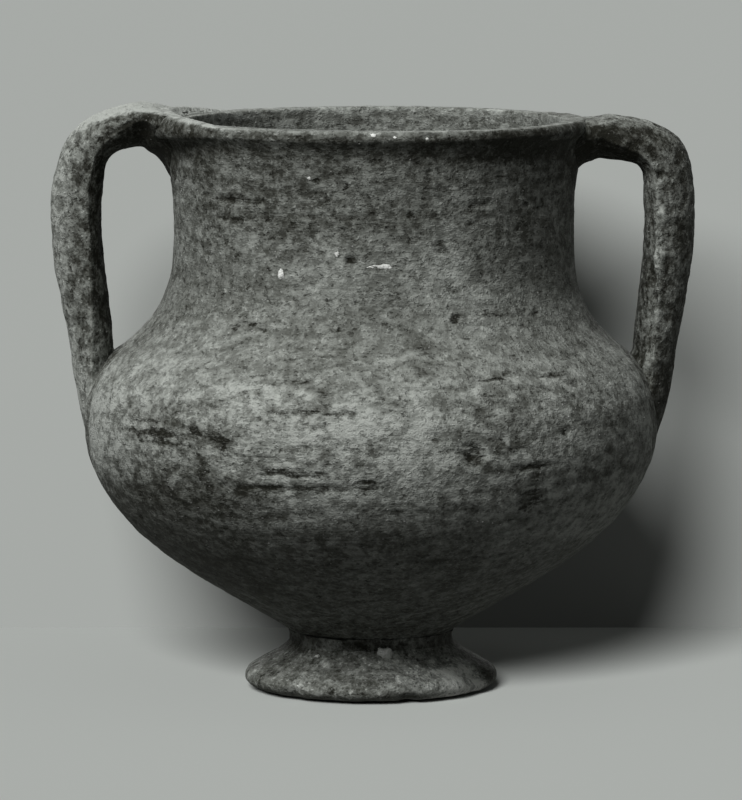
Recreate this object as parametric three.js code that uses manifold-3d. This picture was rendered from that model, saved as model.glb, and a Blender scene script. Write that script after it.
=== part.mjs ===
// A two-handled amphoriskos: a wheel-thrown jar set on a thrown ring foot, with two pulled strap handles
// and the thin layers of slip that lute the five joints. Millimetres, +Z up, handles along X, and the
// origin at the centre of the standing ring.
import * as THREE from 'three';
import { mergeVertices } from 'three/addons/utils/BufferGeometryUtils.js';
import Module from 'manifold-3d';

// Driving dimensions of the jar
const RIM_HEIGHT = 130.9;
const LIP_RADIUS = 48.7;
const LIP_DEPTH = 2.6;
const LIP_ROUND = 1.0;
const MOUTH_RADIUS = 42.4;
const NECK_RADIUS = 45.5;
const NECK_HEIGHT = 103.4;
const BELLY_RADIUS = 65.2;
const BELLY_HEIGHT = 60.8;
const STEM_RADIUS = 18.2;
const STEM_HEIGHT = 12.9;
const BASE_DROP = 3.1;
const NECK_WALL = 4.2;
const BELLY_WALL = 4.8;
const FLOOR_THICKNESS = 7.7;

// How each stretch of the jar's wall curves: its facets and the points that pull it, as [radius, height]
const BASE_BEND = { facets: 5, leave: [7, STEM_HEIGHT - BASE_DROP], arrive: [13, STEM_HEIGHT - 1.4] };
const LOWER_BEND = { facets: 13, leave: [32, 23.3], arrive: [BELLY_RADIUS, 35.2] };
const SHOULDER_BEND = { facets: 14, leave: [BELLY_RADIUS, 83.5], arrive: [NECK_RADIUS, 75.9] };
const NECK_BEND = { facets: 5, leave: [NECK_RADIUS, 112], arrive: [NECK_RADIUS + 0.2, 118] };
const NECK_TOP = [NECK_RADIUS + 0.9, 123.5];
const FLARE_BEND = { facets: 4, leave: [NECK_RADIUS + 1.4, 126.6], arrive: [LIP_RADIUS - 0.6, 127.5] };
const INNER_NECK_BEND = {
  facets: 4, leave: [MOUTH_RADIUS - 0.6, 122], arrive: [NECK_RADIUS - NECK_WALL, 113],
};
const INNER_SHOULDER_BEND = {
  facets: 10, leave: [NECK_RADIUS - NECK_WALL, 76.5], arrive: [BELLY_RADIUS - BELLY_WALL, 81.5],
};
const BOWL_BEND = {
  facets: 11, leave: [BELLY_RADIUS - BELLY_WALL, 38], arrive: [26, STEM_HEIGHT - BASE_DROP + FLOOR_THICKNESS],
};
const LIP_CORNER_FACETS = 3;
const LIP_CORNER_PULL = 0.4;

// Driving dimensions of the foot
const FOOT_RADIUS = 29.4;
const FOOT_EDGE_HEIGHT = 3.0;
const STAND_OUTER_RADIUS = 25.2;
const STAND_INNER_RADIUS = 21.8;
const FOOT_HOLE_RADIUS = 10.5;
const FOOT_HOLE_DROP = 0.2;
const FOOT_EDGE_BEND = { facets: 4, leave: [27, 0], arrive: [FOOT_RADIUS, 0.8] };
const FOOT_FLARE_BEND = { facets: 7, leave: [FOOT_RADIUS, 6.2], arrive: [21.4, 7.4] };
const FOOT_HOLLOW_BEND = { facets: 4, leave: [13.5, 6.5], arrive: [19.5, 5] };

// Driving dimensions of the luted joints
const SLIP_THICKNESS = 0.5;
const SLIP_SQUEEZE = 0.7;
const CLEARANCE = 0.3;
const JOINT_THICKNESS = SLIP_THICKNESS + 2 * CLEARANCE;

// Driving dimensions of the handles, which differ as hand-pulled straps do: how far each reaches from the
// axis, the heights of its crown, side edges and underside at the arch, and its dome at the bend
const LEFT_HANDLE = { reach: 73.2, crown: 134.6, edge: 130.4, under: 124.2, corner: 6.9 };
const RIGHT_HANDLE = { reach: 74.1, crown: 134.0, edge: 126.5, under: 121.3, corner: 8.3 };
const STRAP_DOME = 8.5;
const STRAP_INNER = 3.1;
const STRAP_HALF_WIDTH = 8.2;
const ROOT_HALF_WIDTH = 21;
const HANDLE_STEPS = 30;
const HANDLE_SIDES = 18;

const TURN_SEGMENTS = 48;

const wasm = await Module();
wasm.setup();

// Solids and cuts

function toSolid(geometry) {
  const bare = geometry.clone();
  bare.deleteAttribute('normal');
  bare.deleteAttribute('uv');
  const merged = mergeVertices(bare, 1e-4);
  return new wasm.Manifold(new wasm.Mesh({
    numProp: 3,
    vertProperties: new Float32Array(merged.attributes.position.array),
    triVerts: new Uint32Array(merged.index.array),
  }));
}

function toGeometry(solid) {
  const mesh = solid.getMesh();
  const geometry = new THREE.BufferGeometry();
  geometry.setAttribute('position', new THREE.BufferAttribute(mesh.vertProperties, 3));
  geometry.setIndex(new THREE.BufferAttribute(mesh.triVerts, 1));
  geometry.computeVertexNormals();
  return geometry;
}

// Profiles in the plane through the axis: x is the radius and y is the height

const at = (radius, height) => new THREE.Vector2(radius, height);

const bend = (from, { facets, leave, arrive }, to) =>
  new THREE.CubicBezierCurve(from, at(...leave), at(...arrive), to).getPoints(facets);

// A rounded corner of the lip, on its outer side (1) or its inner side (-1)
function lipCorner(radius, side) {
  const shoulder = at(radius, RIM_HEIGHT - LIP_ROUND);
  const crest = at(radius - side * LIP_ROUND, RIM_HEIGHT);
  const round = {
    facets: LIP_CORNER_FACETS,
    leave: [radius, RIM_HEIGHT - LIP_CORNER_PULL],
    arrive: [radius - side * LIP_CORNER_PULL, RIM_HEIGHT],
  };
  return bend(shoulder, round, crest);
}

function joined(...runs) {
  const points = runs.flat();
  return points.filter((point, i) => i === 0 || point.distanceTo(points[i - 1]) > 1e-6);
}

function turned(profile) {
  return new THREE.LatheGeometry(profile, TURN_SEGMENTS).rotateX(Math.PI / 2);
}

function pushedOut(profile, distance) {
  return profile.map((point, i) => {
    const before = profile[Math.max(i - 1, 0)];
    const after = profile[Math.min(i + 1, profile.length - 1)];
    const along = after.clone().sub(before).normalize();
    const moved = at(point.x + along.y * distance, point.y - along.x * distance);
    return point.x === 0 ? at(0, moved.y) : moved;
  });
}

// Outer wall of the jar, from the middle of its rounded base up to the crest of the lip

const stem = at(STEM_RADIUS, STEM_HEIGHT);
const belly = at(BELLY_RADIUS, BELLY_HEIGHT);
const neck = at(NECK_RADIUS, NECK_HEIGHT);
const baseMiddle = at(0, STEM_HEIGHT - BASE_DROP);
const lipUnder = RIM_HEIGHT - LIP_DEPTH;

const baseCurve = bend(baseMiddle, BASE_BEND, stem);

const outerWall = joined(
  baseCurve,
  bend(stem, LOWER_BEND, belly),
  bend(belly, SHOULDER_BEND, neck),
  bend(neck, NECK_BEND, at(...NECK_TOP)),
  bend(at(...NECK_TOP), FLARE_BEND, at(LIP_RADIUS, lipUnder)),
  lipCorner(LIP_RADIUS, 1),
);

// Inner wall of the jar, from the crest of the lip down to the middle of its floor

const innerNeck = at(NECK_RADIUS - NECK_WALL, NECK_HEIGHT);
const innerBelly = at(BELLY_RADIUS - BELLY_WALL, BELLY_HEIGHT);
const floorMiddle = at(0, baseMiddle.y + FLOOR_THICKNESS);

const innerWall = joined(
  lipCorner(MOUTH_RADIUS, -1).reverse(),
  bend(at(MOUTH_RADIUS, RIM_HEIGHT - LIP_ROUND), INNER_NECK_BEND, innerNeck),
  bend(innerNeck, INNER_SHOULDER_BEND, innerBelly),
  bend(innerBelly, BOWL_BEND, floorMiddle),
);

const jarSolid = toSolid(turned(joined(outerWall, innerWall)));

// The jar without its hollow, grown by a distance, to shape what is luted on to it
function filledJar(distance) {
  const skin = pushedOut(outerWall, distance);
  return toSolid(turned(joined(skin, [at(0, RIM_HEIGHT + distance)])));
}

const jarClear = filledJar(CLEARANCE);
const jarSlipped = filledJar(CLEARANCE + SLIP_THICKNESS);
const jarSeated = filledJar(JOINT_THICKNESS);

// Ring foot: a flaring wall with a dished seat on top and an open hollow below

const underBase = (distance) =>
  pushedOut(baseCurve, distance).filter((point) => point.x > FOOT_HOLE_RADIUS);
const seat = underBase(JOINT_THICKNESS).reverse();
const seatEdge = seat[0];
const seatHole = at(FOOT_HOLE_RADIUS, seat[seat.length - 1].y - FOOT_HOLE_DROP);
const footEdge = at(FOOT_RADIUS, FOOT_EDGE_HEIGHT);
const standOuter = at(STAND_OUTER_RADIUS, 0);
const standInner = at(STAND_INNER_RADIUS, 0);

const footProfile = joined(
  [standInner],
  bend(standOuter, FOOT_EDGE_BEND, footEdge),
  bend(footEdge, FOOT_FLARE_BEND, seatEdge),
  seat,
  bend(seatHole, FOOT_HOLLOW_BEND, standInner),
);

// Slip under the jar: a dished washer with a bead squeezed out round the stem

const slipTop = underBase(CLEARANCE);
const slipUnder = underBase(CLEARANCE + SLIP_THICKNESS).reverse();
const slipBead = at(STEM_RADIUS + SLIP_SQUEEZE, (slipTop[slipTop.length - 1].y + slipUnder[0].y) / 2);
const footSlipProfile = joined(slipTop.toReversed(), slipUnder.toReversed(), [slipBead], slipTop.slice(-1));

// Strap handles: a lens section, domed outside and flatter inside, with an edge along each side.
// Each station gives the line of the side edges, the rise of the two faces over it and the half width.
// The root is thumbed out along the lip, and the lower end thins to a tongue on the belly.

function handleStations({ reach, crown, edge, under, corner }) {
  const spine = reach - STRAP_DOME;
  const rootAt = (radius, share, top, bottom, spread) => {
    const height = RIM_HEIGHT + share * (edge - RIM_HEIGHT);
    return { radius, height, outer: top - height, inner: height - bottom, half: spread * ROOT_HALF_WIDTH };
  };
  const strapAt = (radius, height, outer, inner, half = STRAP_HALF_WIDTH) =>
    ({ radius, height, outer, inner, half });
  return [
    rootAt(LIP_RADIUS - 4.2, 0, RIM_HEIGHT + 1.8, under - 4.4, 1),
    rootAt(LIP_RADIUS - 1.2, 0.25, crown - 1.2, under - 1.9, 0.85),
    rootAt(LIP_RADIUS + 1.8, 0.5, crown - 0.4, under - 0.7, 0.65),
    rootAt(LIP_RADIUS + 5.8, 1, crown, under, 0.48),
    strapAt(spine - 2.3, under + 0.4, corner, STRAP_INNER + 0.8, 8.5),
    strapAt(spine, 114.0, STRAP_DOME, STRAP_INNER),
    strapAt(spine - 0.1, 101.0, STRAP_DOME - 0.1, STRAP_INNER),
    strapAt(spine - 0.3, 88.5, 6.8, 4.2),
    strapAt(spine - 0.5, 78.5, 5.2, 5.2, 8.7),
    strapAt(BELLY_RADIUS - 1.3, 68.5, 4.3, 4.0, 9.0),
    strapAt(BELLY_RADIUS - 0.6, 60.0, 2.1, 2.0, 7.5),
    strapAt(BELLY_RADIUS - 2.2, 54.0, 1.2, 1.0, 4.0),
  ];
}

function handleGeometry(size, extra) {
  const stations = handleStations(size);
  const spine = new THREE.CatmullRomCurve3(
    stations.map(({ radius, height }) => new THREE.Vector3(radius, 0, height)));
  const sizes = new THREE.CatmullRomCurve3(
    stations.map(({ outer, inner, half }) => new THREE.Vector3(outer, inner, half)));
  const positions = [];
  for (let step = 0; step <= HANDLE_STEPS; step += 1) {
    const along = step / HANDLE_STEPS;
    const middle = spine.getPoint(along);
    const tangent = spine.getTangent(along);
    const faces = sizes.getPoint(along);
    for (let side = 0; side < HANDLE_SIDES; side += 1) {
      const turn = (2 * Math.PI * side) / HANDLE_SIDES;
      const across = (faces.z + extra) * Math.cos(turn);
      const domed = (faces.x + extra) * Math.sin(turn);
      const flat = -(faces.y + extra) * Math.sin(turn) ** 2;
      const out = turn < Math.PI ? domed : flat;
      const radius = middle.x - tangent.z * out;
      const round = across / radius;
      positions.push(radius * Math.cos(round), radius * Math.sin(round), middle.z + tangent.x * out);
    }
  }
  return tubeGeometry(positions);
}

// A closed tube from rings of points, each end closed by a ladder of faces from the outer to the inner side
function tubeGeometry(positions) {
  const index = [];
  for (let step = 0; step < HANDLE_STEPS; step += 1) {
    for (let side = 0; side < HANDLE_SIDES; side += 1) {
      const here = step * HANDLE_SIDES + side;
      const next = step * HANDLE_SIDES + ((side + 1) % HANDLE_SIDES);
      index.push(here, next, here + HANDLE_SIDES, next, next + HANDLE_SIDES, here + HANDLE_SIDES);
    }
  }
  const last = HANDLE_STEPS * HANDLE_SIDES;
  for (let outer = 0; outer < HANDLE_SIDES / 2; outer += 1) {
    const outerNext = outer + 1;
    const inner = (HANDLE_SIDES - outer) % HANDLE_SIDES;
    const innerNext = HANDLE_SIDES - outerNext;
    if (inner !== outer) {
      index.push(inner, outerNext, outer, last + outer, last + outerNext, last + inner);
    }
    if (innerNext !== outerNext) {
      index.push(inner, innerNext, outerNext, last + outerNext, last + innerNext, last + inner);
    }
  }
  const geometry = new THREE.BufferGeometry();
  geometry.setAttribute('position', new THREE.Float32BufferAttribute(positions, 3));
  geometry.setIndex(index);
  return geometry;
}

const cutHandle = (size) => toSolid(handleGeometry(size, 0)).subtract(jarSeated);

// The slip behind a handle lies in the layer over the jar, squeezed out a little past the strap
function slipPad(size, fromHeight, toHeight) {
  const zone = new THREE.BoxGeometry(size.reach, size.reach, toHeight - fromHeight);
  zone.translate(size.reach, 0, (fromHeight + toHeight) / 2);
  const layer = jarSlipped.subtract(jarClear).intersect(toSolid(zone));
  return layer.intersect(toSolid(handleGeometry(size, SLIP_SQUEEZE)));
}

// Fired clay as the photograph shows it, in greys

const clay = () => new THREE.MeshStandardMaterial({ color: 0x7d7d78, roughness: 0.9, metalness: 0 });
const slip = () => new THREE.MeshStandardMaterial({ color: 0xa5a5a0, roughness: 0.95, metalness: 0 });

function piece(name, geometry, material) {
  const mesh = new THREE.Mesh(geometry, material);
  mesh.name = name;
  return mesh;
}

// Assembly

function handleSide(side, size) {
  const group = new THREE.Group();
  group.add(
    piece(`handle_${side}`, toGeometry(cutHandle(size)), clay()),
    piece(`${side}_upper_slip`, toGeometry(slipPad(size, NECK_HEIGHT, size.crown)), slip()),
    piece(`${side}_lower_slip`, toGeometry(slipPad(size, STEM_HEIGHT, NECK_HEIGHT)), slip()),
  );
  return group;
}

const rightSide = handleSide('right', RIGHT_HANDLE);
const leftSide = handleSide('left', LEFT_HANDLE);
leftSide.rotation.z = Math.PI;

const amphoriskos = new THREE.Group();
amphoriskos.add(
  piece('body', toGeometry(jarSolid), clay()),
  piece('foot', turned(footProfile), clay()),
  piece('foot_slip', turned(footSlipProfile), slip()),
  leftSide,
  rightSide,
);

export default amphoriskos;
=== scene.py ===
import math

import bmesh
import bpy
import numpy as np
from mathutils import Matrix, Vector, noise
from mathutils.bvhtree import BVHTree


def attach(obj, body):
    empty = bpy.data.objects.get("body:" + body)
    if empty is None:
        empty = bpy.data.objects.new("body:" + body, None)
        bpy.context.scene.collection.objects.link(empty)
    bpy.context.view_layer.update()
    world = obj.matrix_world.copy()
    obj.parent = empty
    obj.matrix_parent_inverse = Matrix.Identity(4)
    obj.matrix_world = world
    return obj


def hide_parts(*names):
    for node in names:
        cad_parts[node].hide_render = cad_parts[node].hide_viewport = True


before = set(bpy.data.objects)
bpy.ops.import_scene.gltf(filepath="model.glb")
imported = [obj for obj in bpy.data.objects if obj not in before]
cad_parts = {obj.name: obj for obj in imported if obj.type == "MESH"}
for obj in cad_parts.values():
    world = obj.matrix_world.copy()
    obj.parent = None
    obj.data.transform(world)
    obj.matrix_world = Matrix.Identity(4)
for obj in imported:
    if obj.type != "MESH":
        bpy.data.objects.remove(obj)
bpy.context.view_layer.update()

# The jar is one thrown wall of coarse, gritty clay, from its rounded base up to the flat lip and down
# inside to the floor. It was turned on a slow wheel, wiped with a dark wash and fired, and its fullest
# parts have worn pale since.

MM = 0.001
JAR_SEGMENTS = 288
CURVE_SAMPLES = 200
LIP_HEIGHT = 130.9
# Stretches of the wall: start, two pull points and end as (radius, height), then the row spacing, all in mm
OUTER_WALL = [
    ((0, 9.8), (7, 9.8), (13, 11.5), (18.2, 12.9), 1.6),
    ((18.2, 12.9), (32, 23.3), (65.2, 35.2), (65.2, 60.8), 0.66),
    ((65.2, 60.8), (65.2, 83.5), (45.5, 75.9), (45.5, 103.4), 0.62),
    ((45.5, 103.4), (45.5, 112), (45.7, 118), (46.4, 123.5), 0.62),
    ((46.4, 123.5), (46.9, 126.6), (48.1, 127.5), (48.7, 128.3), 0.5),
    ((48.7, 128.3), (48.7, 128.9), (48.7, 129.4), (48.7, 129.9), 0.4),
    ((48.7, 129.9), (48.7, 130.5), (48.3, LIP_HEIGHT), (47.7, LIP_HEIGHT), 0.3),
]
INNER_WALL = [
    ((47.7, LIP_HEIGHT), (46.2, LIP_HEIGHT), (44.8, LIP_HEIGHT), (43.4, LIP_HEIGHT), 0.6),
    ((43.4, LIP_HEIGHT), (42.8, LIP_HEIGHT), (42.4, 130.5), (42.4, 129.9), 0.3),
    ((42.4, 129.9), (41.8, 122), (41.3, 113), (41.3, 103.4), 1.4),
    ((41.3, 103.4), (41.3, 76.5), (60.4, 81.5), (60.4, 60.8), 2.0),
    ((60.4, 60.8), (60.4, 38), (26, 17.5), (0, 17.5), 2.6),
]


def distance_along(line):
    return np.concatenate([[0], np.cumsum(np.linalg.norm(np.diff(line, axis=0), axis=1))])


def profile_line(stretches):
    """Points of a wheel profile as (radius, height) in metres, each stretch at its own spacing."""
    runs = []
    for *corners, spacing in stretches:
        start, leave, arrive, end = (np.array(corner, float) for corner in corners)
        t = np.linspace(0, 1, CURVE_SAMPLES)[:, None]
        curve = ((1 - t) ** 3 * start + 3 * (1 - t) ** 2 * t * leave
                 + 3 * (1 - t) * t ** 2 * arrive + t ** 3 * end)
        walked = distance_along(curve)
        stops = np.linspace(0, walked[-1], max(2, round(walked[-1] / spacing)) + 1)[:-1]
        runs.append(np.column_stack([np.interp(stops, walked, column) for column in curve.T]))
    runs.append([stretches[-1][3]])
    return np.concatenate(runs) * MM


def node_adder(tree):
    """A short way to add a node: its kind, its inputs by name or number, and its settings."""
    def add(kind, inputs=(), **settings):
        node = tree.nodes.new(kind)
        for key, value in settings.items():
            setattr(node, key, value)
        for socket, value in dict(inputs).items():
            if isinstance(value, bpy.types.NodeSocket):
                tree.links.new(value, node.inputs[socket])
            else:
                node.inputs[socket].default_value = value
        return node
    return add


def math_adder(add):
    """A short way to add a sum: its operation and its values."""
    def calc(operation, *values):
        return add("ShaderNodeMath", enumerate(values), operation=operation).outputs[0]
    return calc


def new_geometry_tree(name, inputs):
    tree = bpy.data.node_groups.new(name, "GeometryNodeTree")
    tree.interface.new_socket("Geometry", in_out="OUTPUT", socket_type="NodeSocketGeometry")
    tree.interface.new_socket("Geometry", in_out="INPUT", socket_type="NodeSocketGeometry")
    for label, kind in inputs.items():
        tree.interface.new_socket(label, in_out="INPUT", socket_type=kind)
    return tree


def finish_tree(tree, add, geometry, material):
    realized = add("GeometryNodeRealizeInstances", {"Geometry": geometry})
    coated = add("GeometryNodeSetMaterial", {"Geometry": realized.outputs[0], "Material": material})
    add("NodeGroupOutput", {0: coated.outputs[0]})


def apply_tree(piece, tree, values):
    """Runs a tree on a piece with its named inputs set, and keeps the result as the piece's plain mesh."""
    modifier = piece.modifiers.new(tree.name, "NODES")
    modifier.node_group = tree
    for socket in tree.interface.items_tree:
        if socket.in_out == "INPUT" and socket.name in values:
            modifier[socket.identifier] = values[socket.name]
    depsgraph = bpy.context.evaluated_depsgraph_get()
    mesh = bpy.data.meshes.new_from_object(
        piece.evaluated_get(depsgraph), preserve_all_data_layers=True, depsgraph=depsgraph)
    piece.modifiers.remove(modifier)
    piece.data = mesh
    mesh.name = piece.name


def new_piece(name, points, edges=(), faces=()):
    mesh = bpy.data.meshes.new(name)
    mesh.from_pydata([tuple(point) for point in points], edges, faces)
    piece = bpy.data.objects.new(name, mesh)
    bpy.context.scene.collection.objects.link(piece)
    return piece


# The wheel: a grid wrapped round the axis, whose rows take the points of a profile, with the ridges that
# fingers leave along each turn and the slow sag of soft clay, both measured inwards from the profile
RIDGE_WANDER = 14.0
SAG_SCALE = 13.0
NOISE_TOP = 0.8
SEAM_GAP = 0.002 * MM


def turned_wall_tree():
    tree = new_geometry_tree("turned_wall", {
        "Segments": "NodeSocketInt", "Rows": "NodeSocketInt", "Ridge Depth": "NodeSocketFloat",
        "Ridge Pitch": "NodeSocketFloat", "Sag": "NodeSocketFloat", "Throw": "NodeSocketFloat",
        "Clay": "NodeSocketMaterial"})
    add = node_adder(tree)
    calc = math_adder(add)
    given = add("NodeGroupInput").outputs
    columns = calc("ADD", given["Segments"], 1.0)
    grid = add("GeometryNodeMeshGrid", {"Size X": 1.0, "Size Y": 1.0, "Vertices X": columns,
                                        "Vertices Y": given["Rows"]})
    place = add("GeometryNodeInputPosition").outputs[0]
    spot = add("ShaderNodeSeparateXYZ", {0: place}).outputs
    angle = calc("MULTIPLY_ADD", spot[0], 2 * math.pi, math.pi)
    last_row = calc("SUBTRACT", given["Rows"], 1.0)
    row = add("FunctionNodeFloatToInt",
              {0: calc("MULTIPLY_ADD", spot[1], last_row, calc("MULTIPLY", last_row, 0.5))},
              rounding_mode="ROUND").outputs[0]
    point = add("GeometryNodeSampleIndex", {"Geometry": given["Geometry"], "Value": place, "Index": row},
                data_type="FLOAT_VECTOR", domain="POINT").outputs[0]
    profile = add("ShaderNodeSeparateXYZ", {0: point}).outputs
    stored_along = add("GeometryNodeInputNamedAttribute", {"Name": "along"}, data_type="FLOAT").outputs[0]
    along = add("GeometryNodeSampleIndex",
                {"Geometry": given["Geometry"], "Value": stored_along, "Index": row},
                data_type="FLOAT", domain="POINT").outputs[0]
    kept = add("GeometryNodeStoreNamedAttribute",
               {"Geometry": grid.outputs[0], "Name": "along", "Value": along},
               data_type="FLOAT", domain="POINT").outputs[0]
    turned = add("ShaderNodeCombineXYZ", {
        0: calc("MULTIPLY", profile[0], calc("COSINE", angle)),
        1: calc("MULTIPLY", profile[0], calc("SINE", angle)), 2: profile[2]}).outputs[0]
    lathed = add("GeometryNodeSetPosition", {"Geometry": kept, "Position": turned}).outputs[0]
    closed = add("GeometryNodeMergeByDistance", {"Geometry": lathed, "Distance": SEAM_GAP}).outputs[0]

    across_turns = add("ShaderNodeCombineXYZ", {
        0: calc("MULTIPLY_ADD", spot[0], RIDGE_WANDER, given["Throw"]),
        1: calc("MULTIPLY", spot[1], RIDGE_WANDER),
        2: calc("DIVIDE", stored_along, given["Ridge Pitch"])}).outputs[0]
    ridges = add("ShaderNodeTexNoise", {"Vector": across_turns, "Scale": 1.0, "Detail": 2.0}).outputs[0]
    moved_wall = add("ShaderNodeCombineXYZ", {
        0: calc("ADD", spot[0], given["Throw"]), 1: spot[1], 2: spot[2]}).outputs[0]
    slump = add("ShaderNodeTexNoise", {"Vector": moved_wall, "Scale": SAG_SCALE, "Detail": 1.0}).outputs[0]
    inwards = calc("ADD",
                   calc("MULTIPLY", calc("SUBTRACT", ridges, NOISE_TOP), given["Ridge Depth"]),
                   calc("MULTIPLY", calc("SUBTRACT", slump, NOISE_TOP), given["Sag"]))
    normal = add("GeometryNodeInputNormal").outputs[0]
    push = add("ShaderNodeVectorMath", {0: normal, "Scale": inwards}, operation="SCALE").outputs[0]
    shaped = add("GeometryNodeSetPosition", {"Geometry": closed, "Offset": push}).outputs[0]
    finish_tree(tree, add, shaped, given["Clay"])
    return tree


wheel = turned_wall_tree()


def store_values(mesh, label, values):
    mesh.attributes.new(label, "FLOAT", "POINT").data.foreach_set("value", values)


def stored_values(mesh, label):
    values = np.empty(len(mesh.vertices))
    mesh.attributes[label].data.foreach_get("value", values)
    return values


def throw(name, line, segments, **values):
    """A piece turned on the wheel from a profile line."""
    rows = [(radius, 0.0, height) for radius, height in line]
    piece = new_piece(name, rows, [(i, i + 1) for i in range(len(rows) - 1)])
    store_values(piece.data, "along", distance_along(line))
    apply_tree(piece, wheel, {"Segments": segments, "Rows": len(rows), **values})
    return piece


def vertex_array(mesh, field):
    values = np.empty(len(mesh.vertices) * 3)
    mesh.vertices.foreach_get(field, values)
    return values.reshape(-1, 3)


def clay_noise(points, lump, shift=0.0, octaves=3):
    """Noise from about -1 to 1 at each point, in lumps of a size in metres, or of three sizes."""
    scaled = points / np.array(lump) + shift
    return np.array([noise.fractal(spot, 1.0, 2.0, octaves) for spot in scaled.tolist()])


def ease(values, low, high):
    """From 0 at low to 1 at high, with soft ends."""
    t = np.clip((values - low) / (high - low), 0, 1)
    return t * t * (3 - 2 * t)


def within(values, start, full, fade, end):
    """1 from full to fade, easing to 0 at start and end."""
    return ease(values, start, full) * (1 - ease(values, fade, end))


def face_outwards(mesh):
    work = bmesh.new()
    work.from_mesh(mesh)
    bmesh.ops.recalc_face_normals(work, faces=work.faces)
    work.to_mesh(mesh)
    work.free()


PALEST_TONE = 1.2


def reshape(piece, points, tone, mark=None, calm=None):
    """Gives a piece its worked points, its tone, from 0 for the dark wash to 1 for bare pale clay, and how
    strongly it is marked and how calm its mottle is, from 0 to 1."""
    mesh = piece.data
    mesh.vertices.foreach_set("co", points.ravel())
    if "along" in mesh.attributes:
        mesh.attributes.remove(mesh.attributes["along"])
    store_values(mesh, "tone", np.clip(tone, 0, PALEST_TONE))
    for label, values in (("mark", mark), ("calm", calm)):
        if values is not None:
            store_values(mesh, label, np.clip(values, 0, 1))
    face_outwards(mesh)
    mesh.polygons.foreach_set("use_smooth", [True] * len(mesh.polygons))
    mesh.update()


def new_material(name):
    """An empty material, with the short ways to add its nodes and sums."""
    material = bpy.data.materials.new(name)
    material.use_nodes = True
    material.node_tree.nodes.clear()
    add = node_adder(material.node_tree)
    return material, add, math_adder(add)


# Fired clay: the tone of each spot is broken up by clouds, wear, wheel streaks, mottle and grain, each with
# its own weight, with painted shade in the grooves left by the wheel and in the open specks and pores where
# grit fell out, dark flakes of wash and pale flecks of grit. A mark breaks up into ragged flakes of its
# own.
CLAY_WEIGHTS = (0.22, 0.26, 0.10, 0.38, 0.20)
MIDDLE = 0.5


def fired_clay(name, shades, streak_stretch=8.0, line_shade=0.16, weights=CLAY_WEIGHTS):
    """A clay in shades from its darkest to its palest, streaked along the turns of the wheel."""
    material, add, calc = new_material(name)
    place = add("ShaderNodeTexCoord").outputs["Object"]

    def flattened(times):
        """The place on the piece, so that a pattern there is this many times as long as it is high."""
        return add("ShaderNodeMapping", {"Vector": place, "Scale": (1.0, 1.0, times)}).outputs[0]

    streaked = flattened(streak_stretch)
    lined = flattened(3 * streak_stretch)
    worn = flattened(streak_stretch ** 0.5)
    combed = flattened(streak_stretch ** 0.1)

    def blotches(vector, scale, detail, low, high):
        """Noise of a scale per metre and a detail, spread from 0 to 1 between two of its levels."""
        raw = add("ShaderNodeTexNoise",
                  {"Vector": vector, "Scale": scale, "Detail": detail, "Roughness": 0.68}).outputs[0]
        return add("ShaderNodeMapRange", {"Value": raw, "From Min": low, "From Max": high}).outputs[0]

    cloud = blotches(place, 70.0, 3.0, 0.25, 0.75)
    wear = blotches(worn, 150.0, 5.0, 0.36, 0.64)
    streak = blotches(streaked, 130.0, 5.0, 0.34, 0.66)
    mottle = blotches(combed, 450.0, 4.0, 0.41, 0.59)
    grain = blotches(combed, 1250.0, 2.0, 0.22, 0.78)
    lines = blotches(lined, 46.0, 3.0, 0.58, 0.80)
    specks = blotches(combed, 640.0, 2.0, 0.61, 0.65)
    pores = blotches(place, 1150.0, 1.0, 0.64, 0.68)
    flakes = blotches(worn, 300.0, 3.0, 0.62, 0.67)
    flecks = blotches(place, 1000.0, 1.0, 0.63, 0.71)
    tear = blotches(worn, 420.0, 4.0, 0.30, 0.70)

    def stored(label):
        return add("ShaderNodeAttribute", attribute_name=label).outputs["Fac"]

    marked = calc("MULTIPLY_ADD", calc("SUBTRACT", tear, MIDDLE), 1.5, stored("mark"))
    torn = add("ShaderNodeMapRange", {"Value": marked, "From Min": 0.45, "From Max": 0.85}).outputs[0]
    tone = calc("ADD", stored("tone"), 0.02)
    rough = calc("SUBTRACT", 1.0, stored("calm"))
    for layer, weight in zip((cloud, wear, streak, mottle, grain), weights):
        swing = calc("MULTIPLY", calc("SUBTRACT", layer, MIDDLE), rough)
        tone = calc("MULTIPLY_ADD", swing, weight, tone)
    # Painted shade: the grooves left by the wheel are darkened in tone
    tone = calc("MULTIPLY_ADD", lines, -line_shade, tone)
    relief = calc("MULTIPLY_ADD", mottle, 0.26, calc("MULTIPLY", grain, 0.20))
    relief = calc("MULTIPLY_ADD", streak, 0.08, relief)
    relief = calc("MULTIPLY_ADD", lines, -0.16, relief)
    # The darkening of the open specks and pores is painted shade in the pits
    for layer, change, raised in ((specks, -0.18, -0.40), (pores, -0.12, -0.22), (flakes, -0.18, -0.14),
                                  (torn, -0.38, -0.35), (flecks, 0.22, 0.14)):
        tone = calc("MULTIPLY_ADD", layer, change, tone)
        relief = calc("MULTIPLY_ADD", layer, raised, relief)
    ramp = add("ShaderNodeValToRGB", {0: tone})
    ramp.color_ramp.elements[0].color = (*shades[0], 1)
    ramp.color_ramp.elements[1].color = (*shades[-1], 1)
    for i, shade in enumerate(shades[1:-1], 1):
        ramp.color_ramp.elements.new(i / (len(shades) - 1)).color = (*shade, 1)

    bump = add("ShaderNodeBump", {"Strength": 0.8, "Distance": 0.7 * MM, "Height": relief})
    dullness = add("ShaderNodeMapRange", {"Value": mottle, "To Min": 0.84, "To Max": 0.97}).outputs[0]
    shader = add("ShaderNodeBsdfPrincipled", {
        "Base Color": ramp.outputs[0], "Roughness": dullness, "Specular IOR Level": 0.22,
        "Normal": bump.outputs[0]})
    add("ShaderNodeOutputMaterial", {0: shader.outputs[0]})
    return material


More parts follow.
